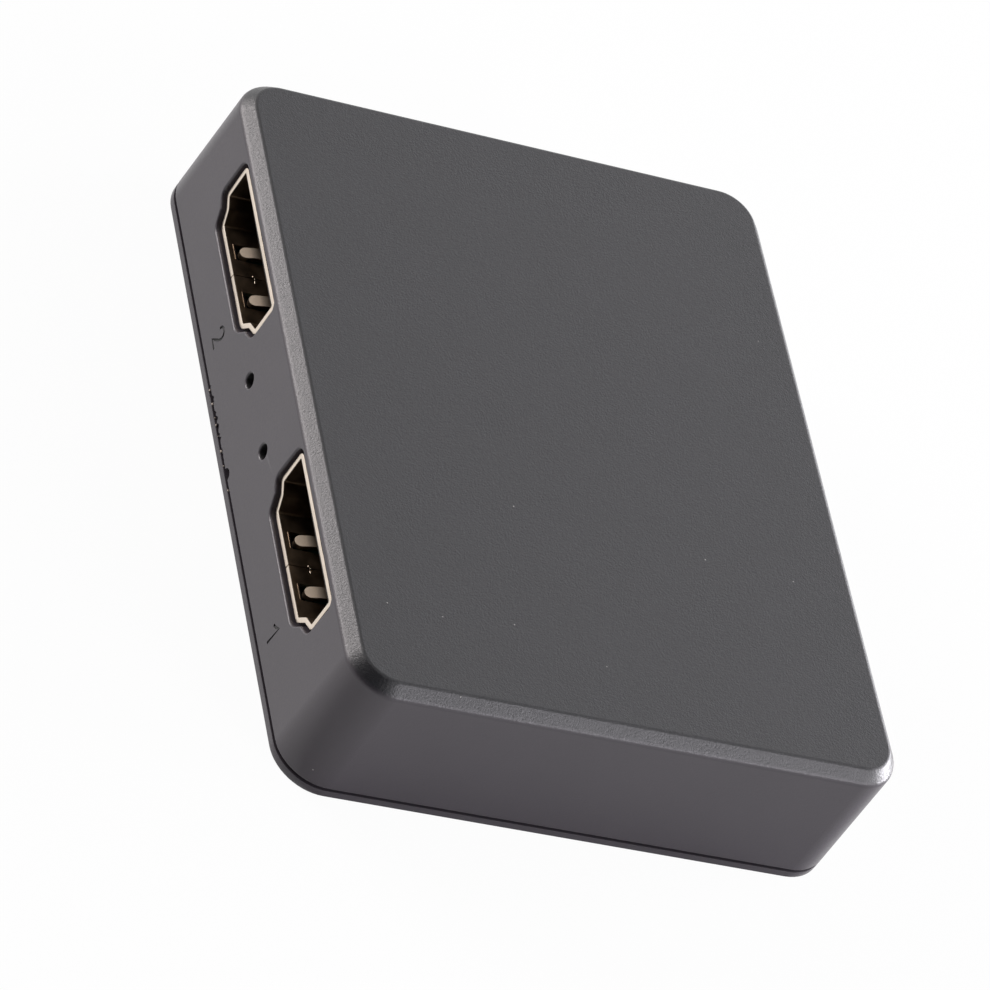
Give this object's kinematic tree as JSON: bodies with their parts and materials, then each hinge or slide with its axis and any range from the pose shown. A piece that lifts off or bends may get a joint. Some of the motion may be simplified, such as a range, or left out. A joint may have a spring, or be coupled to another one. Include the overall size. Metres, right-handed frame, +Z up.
{
  "type": "video splitter",
  "caption": "Small flat black box that copies one video input to several screens, with shaped sockets on opposite sides and status light holes.",
  "frame": {"origin": "middle of the underside", "axes": "+Z up out of the top, -Y out of the output sockets, +X along the row of output sockets"},
  "size_m": [0.0636, 0.0506, 0.0135],
  "materials": {
    "case_abs": "moulded ABS, fine spark texture",
    "plated_sheet": "stamped sheet, satin plating",
    "socket_moulding": "moulded, satin",
    "gilt_contact": "gilt",
    "board_laminate": "lacquered laminate",
    "chip_epoxy": "moulded epoxy",
    "tinned_metal": "tinned",
    "screw_steel": "plated",
    "capacitor_aluminium": "drawn",
    "capacitor_ceramic": "fired",
    "light_body": "moulded",
    "light_lens": "clear resin"
  },
  "bodies": {
    "root": {"top_shell": "case_abs", "bottom_cover": "case_abs", "circuit_board": "board_laminate", "board_screws": "screw_steel", "splitter_chip": "chip_epoxy", "splitter_chip_leads": "tinned_metal", "memory_chip": "chip_epoxy", "memory_chip_leads": "tinned_metal", "regulator": "chip_epoxy", "regulator_leads": "tinned_metal", "crystal_base": "socket_moulding", "crystal_can": "tinned_metal", "crystal_leads": "tinned_metal", "bulk_capacitor_bases": "socket_moulding", "bulk_capacitor_cans": "capacitor_aluminium", "output_led_bodies": "light_body", "output_led_lenses": "light_lens", "chip_capacitors": "capacitor_ceramic", "chip_resistors": "chip_epoxy", "chip_end_caps": "tinned_metal", "output_1_shell": "plated_sheet", "output_1_insulator": "socket_moulding", "output_1_contacts": "gilt_contact", "output_2_shell": "plated_sheet", "output_2_insulator": "socket_moulding", "output_2_contacts": "gilt_contact", "input_shell": "plated_sheet", "input_insulator": "socket_moulding", "input_contacts": "gilt_contact", "power_shell": "plated_sheet", "power_insulator": "socket_moulding", "power_contacts": "gilt_contact"}
  },
  "joints": []
}
